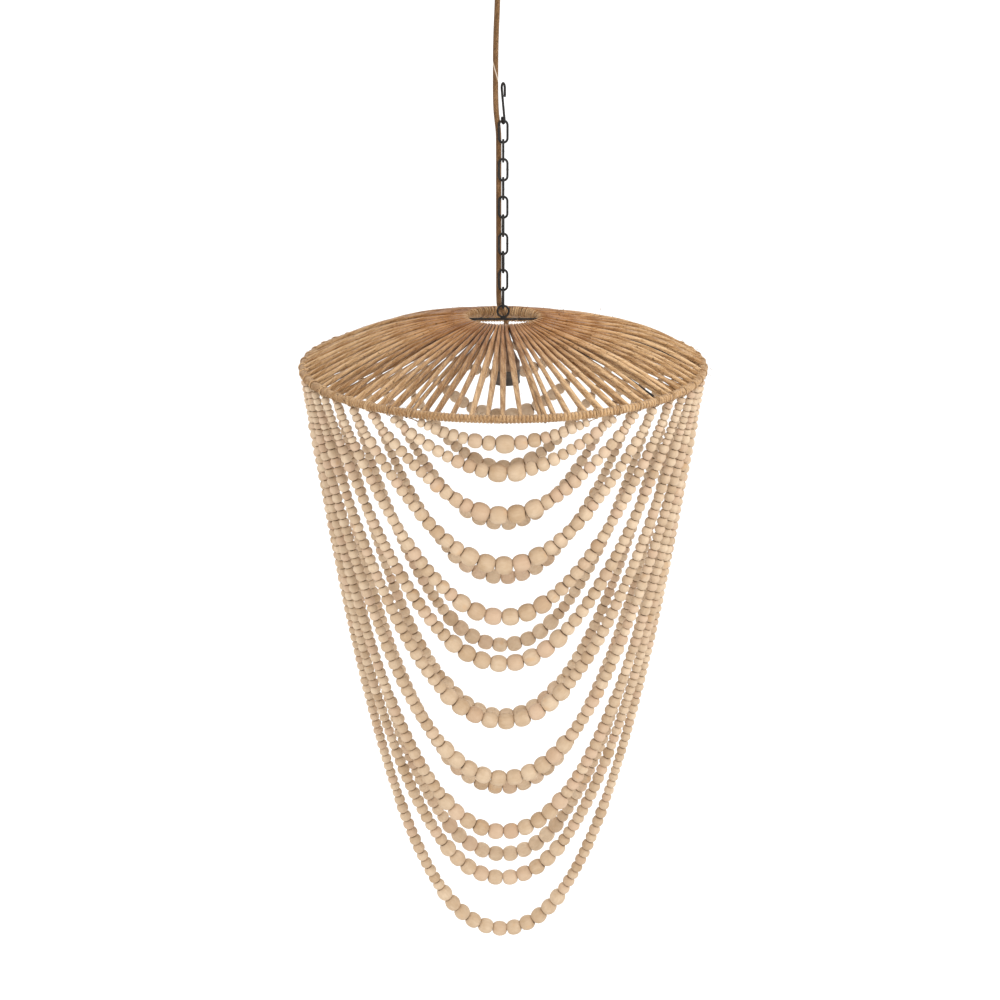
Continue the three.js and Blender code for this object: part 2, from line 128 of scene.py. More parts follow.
class Flow:
    """A value or a colour on its way through a material's nodes; sums on it add Math nodes."""

    def __init__(self, tree, socket=None):
        self.tree = tree
        self.socket = socket

    def add(self, kind, settings=None, inputs=None, output=0):
        node = self.tree.nodes.new(kind)
        for name, value in (settings or {}).items():
            if name == "stops":
                while len(node.color_ramp.elements) < len(value):
                    node.color_ramp.elements.new(1)
                for element, (place, colour) in zip(node.color_ramp.elements, value):
                    element.position = place
                    element.color = (*colour, 1)
            else:
                setattr(node, name, value)
        for name, value in (inputs or {}).items():
            if isinstance(value, Flow):
                self.tree.links.new(value.socket, node.inputs[name])
            else:
                node.inputs[name].default_value = value
        return Flow(self.tree, node.outputs[output])

    def maths(self, operation, *values):
        return self.add("ShaderNodeMath", {"operation": operation}, dict(enumerate(values)))

    def __add__(self, other):
        return self.maths("ADD", self, other)

    def __radd__(self, other):
        return self.maths("ADD", other, self)

    def __sub__(self, other):
        return self.maths("SUBTRACT", self, other)

    def __rsub__(self, other):
        return self.maths("SUBTRACT", other, self)

    def __mul__(self, other):
        return self.maths("MULTIPLY", self, other)

    def __rmul__(self, other):
        return self.maths("MULTIPLY", other, self)

    def __truediv__(self, other):
        return self.maths("DIVIDE", self, other)

    def __rtruediv__(self, other):
        return self.maths("DIVIDE", other, self)

    def parts(self):
        """The three numbers of this place, each on its own."""
        split = self.add("ShaderNodeSeparateXYZ", None, {0: self})
        return [Flow(self.tree, socket) for socket in split.socket.node.outputs]

    def wave(self):
        """0 to 1 and back once for every whole 1 of this value."""
        return self.maths("SINE", self * (2 * math.pi)) * 0.5 + 0.5

    def between(self, low, high):
        """0 below low, 1 above high and a smooth step in between."""
        inputs = {"Value": self, "From Min": low, "From Max": high}
        return self.add("ShaderNodeMapRange", {"interpolation_type": "SMOOTHSTEP"}, inputs)

    def noise(self, scale, detail=3, stretch=(1, 1, 1)):
        """Cloudy 0 to 1 over this place, finer as scale rises."""
        place = self.add("ShaderNodeMapping", None, {"Vector": self, "Scale": stretch})
        return self.add("ShaderNodeTexNoise", None, {"Vector": place, "Scale": scale, "Detail": detail})

    def blend(self, first, second):
        """A colour from first, where this value is 0, to second, where it is 1."""
        colours = [end if isinstance(end, Flow) else (*end, 1) for end in (first, second)]
        return self.add("ShaderNodeMix", {"data_type": "RGBA"}, {0: self, 6: colours[0], 7: colours[1]}, 2)

    def stain(self, colour, tint):
        """A colour darkened by a tint, as much as this value says."""
        settings = {"data_type": "RGBA", "blend_type": "MULTIPLY"}
        return self.add("ShaderNodeMix", settings, {0: self, 6: colour, 7: (*tint, 1)}, 2)


def new_finish(name, **settings):
    """A material, its empty Flow, and its shader with what is the same all over the surface."""
    material = bpy.data.materials.new(name)
    material.use_nodes = True
    shader = material.node_tree.nodes["Principled BSDF"]
    for setting, value in settings.items():
        shader.inputs[setting.replace("_", " ")].default_value = value
    return material, Flow(material.node_tree), shader


def lay_on(flow, shader, colour, roughness=None, height=None, depth=0.001):
    """Links what varies over a surface: its colour, its roughness, and a height of so many metres."""
    flow.tree.links.new(colour.socket, shader.inputs["Base Color"])
    if roughness:
        flow.tree.links.new(roughness.socket, shader.inputs["Roughness"])
    if height:
        bump = flow.add("ShaderNodeBump", None, {"Height": height, "Distance": depth})
        flow.tree.links.new(bump.socket, shader.inputs["Normal"])


def jute_finish(name, plies, lay, tones):
    """Jute cord: hairy fibres that run nearly along it, uneven in colour, with dark flecks. Each of its
    plies turns once round it in the length of a lay. The UV map holds the turn round the cord and the
    metres along it, and the attribute "tone" says how pale this cord is among its neighbours."""
    gloss = {"Roughness": 0.95, "Specular_IOR_Level": 0.12, "Sheen_Weight": 0.2, "Sheen_Roughness": 0.5}
    material, flow, shader = new_finish(name, **gloss)
    turn, along, _ = flow.add("ShaderNodeUVMap", {"uv_map": "UVMap"}).parts()
    place = flow.add("ShaderNodeTexCoord", None, None, 3)
    tone = flow.add("ShaderNodeAttribute", {"attribute_name": "tone"}, None, 2)
    patch = place.noise(38, 2)
    twist = turn + along / lay
    ply = flow.maths("POWER", (twist * plies).wave(), 0.5)
    streak = flow.add("ShaderNodeCombineXYZ", None, {0: twist * 5, 1: along * 28, 2: patch * 4})
    hair = flow.add("ShaderNodeCombineXYZ", None, {0: twist * 17, 1: along * 150, 2: patch * 9})
    streak = streak.noise(3.5, 4)
    hair = hair.noise(3, 3)
    fleck = place.noise(260, 2).between(0.64, 0.72)
    shade = 0.5 + (streak - 0.5) * 1.25 + (hair - 0.5) * 1.25 + (patch - 0.5) * 0.5
    # Painted shade: the grooves between the plies are a little darker.
    shade = shade + (tone - 0.5) * 0.4 + (ply - 0.62) * 0.3
    dark, middle, pale = tones
    ramp = flow.add("ShaderNodeValToRGB", {"stops": [(0.2, dark), (0.5, middle), (0.8, pale)]}, {0: shade})
    colour = (fleck * 0.8).blend(ramp, [part * 0.35 for part in dark])
    height = ply * 0.9 + streak * 0.55 + hair * 0.35
    return material, flow, shader, colour, height


def braided_finish(name, tones):
    """The lamp cord's cover: jute yarn braided round it, with one pale slanting scuff above the hook."""
    material, flow, shader, jute, height = jute_finish(name, 1, cover_lay, tones)
    turn, along, _ = flow.add("ShaderNodeUVMap", {"uv_map": "UVMap"}).parts()
    left = (turn * braid_yarns + along / braid_pitch).wave()
    right = (turn * braid_yarns - along / braid_pitch).wave()
    braid = flow.maths("MAXIMUM", left, right)
    # Painted shade: the hollows between the braided yarns are darkened.
    colour = (0.35 * (1 - braid)).blend(jute, [part * 0.4 for part in tones[0]])
    across, _, up = flow.add("ShaderNodeTexCoord", None, None, 3).parts()
    above = up - scuff_height
    off = flow.maths("ABSOLUTE", across - scuff_side + above * 0.3)
    within = 1 - flow.maths("ABSOLUTE", above).between(0.012, 0.018)
    scuff = (1 - off.between(0.0004, 0.0010)) * within
    lay_on(flow, shader, (scuff * 0.8).blend(colour, scuff_colour), None, braid + height * 0.5, 0.0005)
    return material


cord_jute = braided_finish("cord_jute", cord_tones)


def smooth_route(points, spacing):
    """A smooth curve through the points, as points about so far apart."""
    points = [Vector(point) for point in points]
    slopes = [points[1] - points[0]]
    slopes += [(after - before) / 2 for before, after in zip(points, points[2:])]
    slopes.append(points[-1] - points[-2])
    route = [points[0]]
    for (start, end), (leave, meet) in zip(zip(points, points[1:]), zip(slopes, slopes[1:])):
        length = (end - start).length
        leave = leave.normalized() * length
        meet = meet.normalized() * length
        steps = max(1, round(length / spacing))
        for step in range(1, steps + 1):
            t = step / steps
            place = start * (1 - t) ** 2 * (1 + 2 * t) + end * t**2 * (3 - 2 * t)
            route.append(place + leave * t * (1 - t) ** 2 - meet * t**2 * (1 - t))
    return route


def run_of(route):
    """How far along the route each of its points is."""
    runs = [0]
    for start, end in zip(route, route[1:]):
        runs.append(runs[-1] + (end - start).length)
    return runs


def mesh_of(form, name):
    """Ends the work on a form and gives its mesh."""
    mesh = bpy.data.meshes.new(name)
    form.to_mesh(mesh)
    form.free()
    return mesh


def cord_mesh(name, routes, radius, thickness=None, rounds=2, closed=False):
    """Cords along routes of points, in one mesh. Its UV map holds the turn round a cord and the metres
    along it."""
    curve = bpy.data.curves.new(name, "CURVE")
    curve.dimensions = "3D"
    curve.use_fill_caps = not closed
    curve.twist_mode = "MINIMUM"
    curve.bevel_depth = radius
    curve.bevel_resolution = rounds
    holder = bpy.data.objects.new(name, curve)
    bpy.context.scene.collection.objects.link(holder)
    form = bmesh.new()
    tone = form.verts.layers.float.new("tone")
    for route in routes:
        curve.splines.clear()
        spline = curve.splines.new("POLY")
        spline.points.add(len(route) - 1)
        spline.use_cyclic_u = closed
        runs = run_of(route)
        for point, place, run in zip(spline.points, route, runs):
            point.co = (*place, 1)
            if thickness:
                point.radius = thickness(run / runs[-1])
        graph = bpy.context.evaluated_depsgraph_get()
        graph.update()
        tube = bpy.data.meshes.new_from_object(holder.evaluated_get(graph))
        for corner in tube.uv_layers[0].uv:
            corner.vector = (corner.vector.y, corner.vector.x * runs[-1])
        known = len(form.verts)
        form.from_mesh(tube)
        bpy.data.meshes.remove(tube)
        form.verts.ensure_lookup_table()
        cord_tone = chance.random()
        for corner in form.verts[known:]:
            corner[tone] = cord_tone
    bpy.data.objects.remove(holder)
    bmesh.ops.remove_doubles(form, verts=form.verts, dist=1e-6)
    return mesh_of(form, name)


def place_piece(name, mesh, material, body=None, nodes=(), sharp=40):
    """Puts a mesh in the scene with its finish, lets it ride on a body and stand for CAD nodes."""
    piece = bpy.data.objects.new(name, mesh)
    bpy.context.scene.collection.objects.link(piece)
    mesh.materials.clear()
    mesh.materials.append(material)
    mesh.shade_smooth()
    mesh.set_sharp_from_angle(angle=math.radians(sharp))
    if nodes:
        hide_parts(*nodes)
    if body:
        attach(piece, body)
    return piece


def cut_stretch(source, top, bottom):
    """The part of a hanging mesh between two heights, with its cut ends closed."""
    form = bmesh.new()
    form.from_mesh(source)
    bmesh.ops.remove_doubles(form, verts=form.verts, dist=1e-6)
    for height, normal in ((top, (0, 0, 1)), (bottom, (0, 0, -1))):
        geom = form.verts[:] + form.edges[:] + form.faces[:]
        plane = {"plane_co": (0, 0, height), "plane_no": normal, "clear_outer": True}
        cut = bmesh.ops.bisect_plane(form, geom=geom, **plane)
        rim = [edge for edge in cut["geom_cut"] if isinstance(edge, bmesh.types.BMEdge)]
        if rim:
            bmesh.ops.edgeloop_fill(form, edges=rim)
    bmesh.ops.recalc_face_normals(form, faces=form.faces)
    return mesh_of(form, "stretch")


whole_route = smooth_route(cord_route, 0.0015)
whole_cord = cord_mesh("lamp_cord", [whole_route], cord_radius)
chain_links = [f"chain_link_{number:02}" for number in range(1, 11)]
link_heights = [middle_height(link) for link in chain_links]
upper_cord = place_piece(
    "upper_cord", cut_stretch(whole_cord, 1, hook_level), cord_jute, "hanger", ["lamp_cord_upper"]
)
cord_cuts = [hook_level, *link_heights, cord_foot]
cord_bodies = ["hanger", *chain_links, "shade"]
for number, (top, bottom) in enumerate(zip(cord_cuts, cord_cuts[1:])):
    piece = place_piece(
        f"chain_cord_{number + 1:02}",
        cut_stretch(whole_cord, top, bottom),
        cord_jute,
        nodes=["lamp_cord_along_chain"],
    )
    cord_bodies[number + 1]
    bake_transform(piece)
lower_cord = place_piece(
    "lower_cord", cut_stretch(whole_cord, cord_foot, -1), cord_jute, nodes=["lamp_cord_lower"]
)
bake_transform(lower_cord)


# Iron work of the hanger: an S-hook, ten long links and an eye ring, each one piece of drawn wire bent cold.
# The links and the ring are welded shut at a small lump, and all of it has a dark oiled finish.
hook_wire = 0.0035
hook_length = 0.058
hook_bend = 0.0064
hook_tail_bend = 0.005
hook_tip_drop = 0.020
hook_close = 35
hook_turn = 110
hook_rounding = 0.0008
link_wire = 0.0034
link_length = 0.0336
link_width = 0.0156
link_twist = 5
weld_half = 0.07
eye_wire = 0.003
eye_diameter = 0.0199
eye_weld = (0.0042, 0.0026, 0.0016)
weld_swells = [(0.04, 1.10), (0.03, 1.05), (0.03, 0.97), (0.04, 1 / 1.10 / 1.05 / 0.97)]


def iron_finish(name):
    """Drawn wire with a dark oiled finish: nearly black, brown where it is rubbed, with fine scratches."""
    material, flow, shader = new_finish(name, Metallic=0.3, Specular_IOR_Level=0.35)
    place = flow.add("ShaderNodeTexCoord", None, None, 3)
    patch = place.noise(160, 4)
    grain = place.noise(1400, 3, (1, 1, 0.25))
    rubbed = (patch * 0.8 + grain * 0.4).between(0.55, 0.85)
    colour = rubbed.blend((0.008, 0.007, 0.0065), (0.038, 0.028, 0.021))
    roughness = 0.42 + patch * 0.25 + grain * 0.12
    lay_on(flow, shader, colour, roughness, patch * 0.5 + grain * 0.5, 0.0003)
    return material


iron = iron_finish("dark_iron")


def wire_end(form, radius, place, direction, sides=12):
    """The cut end of a wire, facing a direction; its edges are what the next move draws out."""
    turn = Vector(direction).to_track_quat("Z", "Y").to_matrix().to_4x4()
    seat = Matrix.Translation(place) @ turn
    made = bmesh.ops.create_circle(form, segments=sides, radius=radius, matrix=seat)
    return list({edge for corner in made["verts"] for edge in corner.link_edges})


def draw_wire(form, ring, move, swell=1):
    """Draws a wire on in a straight line, and swells or shrinks it."""
    made = bmesh.ops.extrude_edge_only(form, edges=ring)["geom"]
    corners = [item for item in made if isinstance(item, bmesh.types.BMVert)]
    bmesh.ops.translate(form, verts=corners, vec=move)
    if swell != 1:
        middle = sum((corner.co for corner in corners), Vector()) / len(corners)
        bmesh.ops.scale(form, verts=corners, vec=(swell,) * 3, space=Matrix.Translation(-middle))
    new = set(corners)
    return [item for item in made if isinstance(item, bmesh.types.BMEdge) and new.issuperset(item.verts)]


def bend_wire(form, ring, centre, axis, angle, steps):
    """Bends a wire on round a former."""
    corners = list({corner for edge in ring for corner in edge.verts})
    made = bmesh.ops.spin(
        form, geom=corners + ring, cent=centre, axis=axis, angle=math.radians(angle), steps=steps
    )
    return [item for item in made["geom_last"] if isinstance(item, bmesh.types.BMEdge)]


def round_off(form, ring, move):
    """Rounds the tip of a wire off."""
    ring = draw_wire(form, ring, move * 0.5, 0.86)
    ring = draw_wire(form, ring, move * 0.5, 0.62)
    bmesh.ops.edgeloop_fill(form, edges=ring)


def finished_mesh(form, name, turn=None, merge=1e-6):
    """Closes a form's seams, turns its faces outwards, moves it to its place and makes it a mesh."""
    bmesh.ops.remove_doubles(form, verts=form.verts, dist=merge)
    bmesh.ops.recalc_face_normals(form, faces=form.faces)
    if turn:
        bmesh.ops.transform(form, matrix=turn, verts=form.verts)
    return mesh_of(form, name)


hook_crown = hook_wire / 2 - hook_bend
hook_foot = hook_wire - hook_length + hook_wire / 2 + hook_tail_bend
hook_lean = math.asin((hook_bend + hook_tail_bend) / (hook_crown - hook_foot))
hook_run = math.sqrt((hook_crown - hook_foot) ** 2 - (hook_bend + hook_tail_bend) ** 2)
hook_tip = hook_wire - hook_tip_drop
form = bmesh.new()
ring = wire_end(form, hook_wire / 2, (-hook_bend, 0, hook_tip + hook_rounding), (0, 0, 1))
round_off(form, ring, Vector((0, 0, -hook_rounding)))
ring = draw_wire(form, ring, Vector((0, 0, hook_crown - hook_tip - hook_rounding)))
ring = bend_wire(form, ring, (0, 0, hook_crown), (0, 1, 0), 180 + math.degrees(hook_lean), 22)
down = Vector((-math.sin(hook_lean), 0, -math.cos(hook_lean)))
ring = draw_wire(form, ring, down * hook_run)
tail_angle = -180 - hook_close - math.degrees(hook_lean)
ring = bend_wire(form, ring, (0, 0, hook_foot), (0, 1, 0), tail_angle, 22)
tip_angle = math.radians(90 + hook_close)
tip_way = Vector((math.cos(tip_angle), 0, math.sin(tip_angle)))
round_off(form, ring, tip_way * hook_rounding)
hook = finished_mesh(form, "hook", Matrix.Rotation(math.radians(hook_turn), 4, "Z"))
place_piece("hook", hook, iron, "hanger", ["s_hook"])

link_bend = (link_width - link_wire) / 2
link_straight = link_length - link_wire - 2 * link_bend
for number, height in enumerate(link_heights):
    form = bmesh.new()
    start = Vector((-link_bend, 0, -link_straight / 2))
    ring = wire_end(form, link_wire / 2, start, (0, 0, 1))
    up = Vector((0, 0, link_straight))
    weld = chance.uniform(0.44, 0.56)
    ring = draw_wire(form, ring, up * (weld - weld_half))
    for stretch, swell in weld_swells:
        ring = draw_wire(form, ring, up * stretch, swell)
    ring = draw_wire(form, ring, up * (1 - weld - weld_half))
    ring = bend_wire(form, ring, (0, 0, link_straight / 2), (0, 1, 0), 180, 14)
    ring = draw_wire(form, ring, -up)
    ring = bend_wire(form, ring, (0, 0, -link_straight / 2), (0, 1, 0), 180, 14)
    side = math.pi / 2 if number % 2 else math.pi * (number % 4 // 2)
    side += math.radians(chance.uniform(-link_twist, link_twist))
    seat = Matrix.Translation((0, 0, height)) @ Matrix.Rotation(side, 4, "Z")
    name = f"link_{number + 1:02}"
    body = chain_links[number]
    place_piece(name, finished_mesh(form, name, seat, 1e-5), iron, body, [body])

eye_bend = (eye_diameter - eye_wire) / 2
form = bmesh.new()
ring = wire_end(form, eye_wire / 2, (-eye_bend, 0, 0), (0, 0, 1))
bend_wire(form, ring, (0, 0, 0), (0, 1, 0), 360, 36)
bmesh.ops.remove_doubles(form, verts=form.verts, dist=1e-5)
weld_seat = Matrix.Translation((0, 0, -eye_diameter / 2)) @ Matrix.Diagonal((*eye_weld, 1))
bmesh.ops.create_icosphere(form, subdivisions=3, radius=1, matrix=weld_seat)
for corner in form.verts:
    if corner.co.z < -eye_diameter / 2 + 0.0002:
        corner.co += corner.normal * chance.uniform(-0.00015, 0.00025)
eye = finished_mesh(form, "eye", Matrix.Translation((0, 0, middle_height("eye_ring"))))
place_piece("eye", eye, iron, "shade", ["eye_ring"])


# Frame of the shade: two iron rings one above the other, a bar across the small one and ten struts lapped
# under both and welded, which bow up a little with the jute. The rings are out of sight inside it.
wire_rounding = 0.0006
bar_radius = 0.0016
bar_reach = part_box("crossbar")[1].x
ring_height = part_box("crossbar")[0].z + bar_radius
form = bmesh.new()
ring = wire_end(form, bar_radius, (-bar_reach + wire_rounding, 0, ring_height), (1, 0, 0))
round_off(form, ring, Vector((-wire_rounding, 0, 0)))
ring = draw_wire(form, ring, Vector((2 * (bar_reach - wire_rounding), 0, 0)))
round_off(form, ring, Vector((wire_rounding, 0, 0)))
place_piece("bar", finished_mesh(form, "bar"), iron, "shade", ["crossbar"])

rim_radius = 0.29875
top_wire = 0.005
top_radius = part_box("top_ring")[1].x - top_wire / 2
rise = ring_height - rim_height
slope = math.hypot(rim_radius - top_radius, rise)
outward = (rim_radius - top_radius) / slope
downward = rise / slope
strut_radius = 0.002
strut_offset = 0.0053
strut_lap = 0.002
strut_steps = 12
strut_angles = [math.radians(10.5) + 2 * math.pi * number / 10 for number in range(10)]
crown = 0.0135
crown_shares = (0.12, 0.95, 0.1)


def crown_lift(angle, share):
    """How far the shade bulges above a straight slope, at a share of the way out to the rim: least at the
    front and most at the sides, where the right one bulges nearer to the rim."""
    front, side, back = crown_shares
    aslant = math.sin(angle)
    behind = (1 - math.cos(angle)) / 2
    bulge = crown * (front + side * aslant**2 + back * behind)
    return bulge * math.sin(math.pi * share ** (1 + 0.5 * max(0, aslant)))


for number, angle in enumerate(strut_angles):
    around = Vector((math.sin(angle), -math.cos(angle), 0))
    start = around * (top_radius - strut_offset * downward - strut_lap * outward)
    start.z = ring_height - strut_offset * outward + strut_lap * downward
    way = around * outward - Vector((0, 0, downward))
    form = bmesh.new()
    ring = wire_end(form, strut_radius, start + way * wire_rounding, way)
    round_off(form, ring, way * -wire_rounding)
    stretch = (slope + 2 * (strut_lap - wire_rounding)) / strut_steps
    for step in range(strut_steps):
        bulge = crown_lift(angle, (step + 1) / strut_steps) - crown_lift(angle, step / strut_steps)
        ring = draw_wire(form, ring, way * stretch + Vector((0, 0, bulge)))
    round_off(form, ring, way * wire_rounding)
    name = f"strut_{number + 1:02}"
    place_piece(f"spoke_{number + 1:02}", finished_mesh(form, name), iron, "shade", [name])
for node in ("rim_ring", "top_ring"):
    for material_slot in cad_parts[node].material_slots:
        material_slot.material = iron


# Jute shade: one long cord of jute. It is wound tightly round the rim, and from place to place it goes up
# over the small ring and back below, so that two layers of cords span the cone. They crowd together round
# the small ring, where painted shade makes them darker.
rim_wrap = 0.00625
wrap_cord = 0.0031
wrap_turns = 372
web_cord = 0.0031
web_count = 84
ring_cord = 0.0018
top_cord = 0.0016
top_turns = 130
hair_count = 800
hair_radius = 0.00016
strut_room = 0.014
bare_side = 0.6
tucked = rim_wrap - web_cord - 0.0010
end_reach = 0.002


def shade_finish(name, plies, lay, tones):
    """The shade's jute, with painted shade that makes it darker and browner round the small ring, where the
    crowded cords shade each other, and painted shade that makes its left side a little darker, away from the
    lamp."""
    material, flow, shader, jute, height = jute_finish(name, plies, lay, tones)
    place = flow.add("ShaderNodeTexCoord", None, None, 3)
    level = place.add("ShaderNodeVectorMath", {"operation": "MULTIPLY"}, {0: place, 1: (1, 1, 0)})
    out = level.add("ShaderNodeVectorMath", {"operation": "LENGTH"}, {0: level}, 1)
    # Painted shade: the jute is darkened and browned in a band round the small ring.
    painted_ring_shade = out.between(0.050, 0.064) * (1 - out.between(0.07, 0.23)) * 0.9
    across, _, _ = place.parts()
    # Painted shade: the left of the shade is a little darker, as it is turned away from the lamp.
    painted_left_shade = 1 - across.between(-0.04, 0.16)
    colour = painted_left_shade.stain(painted_ring_shade.stain(jute, (0.66, 0.45, 0.25)), (0.80, 0.775, 0.75))
    lay_on(flow, shader, colour, None, height, 0.0010)
    return material


wrap_jute = shade_finish("wrap_jute", 2, 0.016, [[part * 1.02 for part in tone] for tone in jute_tones])
web_jute = shade_finish("web_jute", 2, 0.07, [[part * 1.08 for part in tone] for tone in jute_tones])


def wound(ring_radius, height, reach, turns, steps):
    """The winding of a cord round a ring, turn beside turn, not quite even."""
    route = []
    drift = 0
    for step in range(turns * steps):
        if step % steps == 0:
            drift = 0.8 * drift + chance.uniform(-0.10, 0.10)
            swell = chance.uniform(-0.00012, 0.00012)
        angle = 2 * math.pi * (step / steps + drift * math.sin(math.pi * (step % steps) / steps)) / turns
        turn = 2 * math.pi * step / steps
        out = ring_radius + (reach + swell) * math.cos(turn)
        up = height + (reach + swell) * math.sin(turn)
        route.append(Vector((out * math.sin(angle), -out * math.cos(angle), up)))
    return route


rim_winding = wound(rim_radius, rim_height, rim_wrap - wrap_cord, wrap_turns, 12)
rim_winding_mesh = cord_mesh("rim_winding", [rim_winding], wrap_cord, rounds=1, closed=True)
top_winding = wound(top_radius, ring_height, (top_wire + top_cord) / 2, top_turns, 8)
top_winding_mesh = cord_mesh("top_winding", [top_winding], top_cord, rounds=1, closed=True)


def beside_ring(angle, ring_radius, height, reach, side):
    """A place so far from a ring's own line: at 0 degrees outside it, at 90 above and at 180 inside."""
    turn = math.radians(side)
    return angle, ring_radius + reach * math.cos(turn), height + reach * math.sin(turn)


def web_route(index):
    """One cord of the web: from the rim below, up to the small ring, over it from inside, and back above.
    Cords lie over the struts, but at the right they part there and let the iron show."""
    gap = 2 * math.pi / web_count
    rim_angle = gap * (index + chance.uniform(-0.12, 0.12))
    top_angle = gap * index + chance.uniform(-0.015, 0.015)
    lower_angle = rim_angle + chance.uniform(-0.003, 0.003)
    lower_top = top_angle + gap * chance.uniform(0.4, 0.6)
    for strut_angle in strut_angles:
        off = (rim_angle - strut_angle + math.pi) % (2 * math.pi) - math.pi
        strut_side = math.sin(rim_angle - off)
        if strut_side > bare_side:
            bare = 0.85 * gap if strut_side < 0.85 else 1.15 * gap
            if -bare < off < gap:
                shift = strut_room + (off + bare) / (gap + bare) * (gap - strut_room) - off
                rim_angle += shift
                top_angle += shift
                lower_angle += shift
                lower_top = top_angle + gap / 2
        elif abs(off) < gap / 2:
            shift = (0.05 if strut_side < -bare_side else 0) - off
            rim_angle += shift
            top_angle += shift
            lower_angle = rim_angle + math.copysign(0.018, off)
    behind = (1 - math.cos(top_angle)) / 2
    loop = top_wire / 2 + ring_cord * 0.6 + 0.0022 * behind + index % 2 * 0.0004 + chance.uniform(0, 0.0003)
    places = [
        beside_ring(lower_angle, rim_radius, rim_height, end_reach, -60),
        beside_ring(lower_angle, rim_radius, rim_height, tucked, -92),
    ]
    sag = chance.uniform(-0.001, 0.001)
    for share in (0.12, 0.3, 0.5, 0.7, 0.88):
        angle = lower_angle + (top_angle - lower_angle) * share + (lower_top - top_angle) * share**1.6
        radius = rim_radius + (top_radius - rim_radius) * share
        drop = -tucked + (tucked - loop) * share + (crown * 0.3 + sag) * math.sin(math.pi * share)
        places.append((angle, radius, rim_height + rise * share + drop))
    for side in (-90, -135, -180, -225, -262):
        share = (1 + math.sin(math.radians(side))) / 2
        angle = lower_top + (top_angle - lower_top) * share
        places.append(beside_ring(angle, top_radius, ring_height, loop, side))
    lift = chance.uniform(0.85, 1.15)
    wander = chance.uniform(-0.008, 0.008)
    for share in (0.1, 0.25, 0.4, 0.55, 0.7, 0.85, 0.95):
        angle = top_angle + (rim_angle - top_angle) * share + wander * math.sin(math.pi * share)
        radius = top_radius + (rim_radius - top_radius) * share
        up = loop + (tucked - loop) * share + lift * crown_lift(top_angle, share)
        places.append((angle, radius, ring_height - rise * share + up))
    places.append(beside_ring(rim_angle, rim_radius, rim_height, tucked, 88))
    places.append(beside_ring(rim_angle, rim_radius, rim_height, end_reach, 60))
    return [Vector((radius * math.sin(angle), -radius * math.cos(angle), z)) for angle, radius, z in places]


def web_thickness(share):
    """Full where the cord is free, and pressed thin round the small ring."""
    return 1 - (1 - ring_cord / web_cord) * math.exp(-(((share - 0.5) / 0.075) ** 2))


web_routes = [smooth_route(web_route(index), 0.012) for index in range(web_count)]
web_mesh = cord_mesh("web", web_routes, web_cord, thickness=web_thickness)
place_piece("rim_winding", rim_winding_mesh, wrap_jute, "shade", ["jute_shade"], 180)
place_piece("top_winding", top_winding_mesh, wrap_jute, "shade", ["jute_shade"], 180)
place_piece("web", web_mesh, web_jute, "shade", ["jute_shade"], 180)

hair_routes = []
for _ in range(hair_count):
    route = web_routes[chance.randrange(web_count)] if chance.random() < 0.6 else rim_winding
    root = route[chance.randrange(len(route))]
    way = Vector((chance.gauss(0, 1), chance.gauss(0, 1), chance.gauss(0.3, 0.8))).normalized()
    curl = Vector((chance.gauss(0, 1), chance.gauss(0, 1), chance.gauss(0, 1))) * 0.5
    length = chance.uniform(0.007, 0.016)
    shares = (0, 0.25, 0.5, 0.75, 1)
    hair_routes.append([root + (way * share + curl * share**2) * length for share in shares])
hair_mesh = cord_mesh("hairs", hair_routes, hair_radius, rounds=0)
place_piece("hairs", hair_mesh, web_jute, "shade", ["jute_shade"], 180)


# Bead strings: turned beads of raw pale wood on twine, tied to the rim at both ends. Each string is largest
# at its lowest point and ends in tiny beads at the rim. It hangs as its own weight draws it.
knot_gap = 0.0003
knot_height = rim_height - rim_wrap - knot_gap
knot_steps = 16
first_string = math.radians(24.1)
longest_drop = 1.032
drop_shares = [0.041, 0.086, 0.152, 0.234, 0.324, 0.411, 0.523, 0.641, 0.76, 0.872, 1]
large_counts = [1, 2, 4, 5, 6, 8, 9, 10, 10, 10, 11]
large_asides = [0.002, 0.005, 0.006, 0.001, -0.002, 0.006, 0.005, 0.006, 0.001, 0, -0.005]
large_bead, large_pitch = 0.0265, 0.0255
medium_bead, medium_pitch = 0.0198, 0.0166
small_bead, small_pitch = 0.0162, 0.0134
tiny_bead, tiny_pitch = 0.0126, 0.0092
medium_longest, medium_share, hanging_medium_share = 0.200, 0.42, 0.34
tiny_longest, tiny_share = 0.075, 0.18
first_swells = {"medium": 1.08, "small": 1.04, "tiny": 1.03}
last_swell, widest_swell = 0.96, 1.06
mouth_share = 0.21
# Painted light: the beads of the back strings are made lighter in tone by this much.
tone_spread, back_painted_light = 0.15, 0.2
bead_lean = 2.4
twine_radius = 0.0009
wood_stops = [(0.2, (0.405, 0.276, 0.163)), (0.5, (0.500, 0.370, 0.246)), (0.8, (0.620, 0.483, 0.340))]
pink_wood = (0.520, 0.353, 0.246)
knotty_wood = (0.515, 0.325, 0.175)
crease_shade_wood = (0.115, 0.060, 0.028)


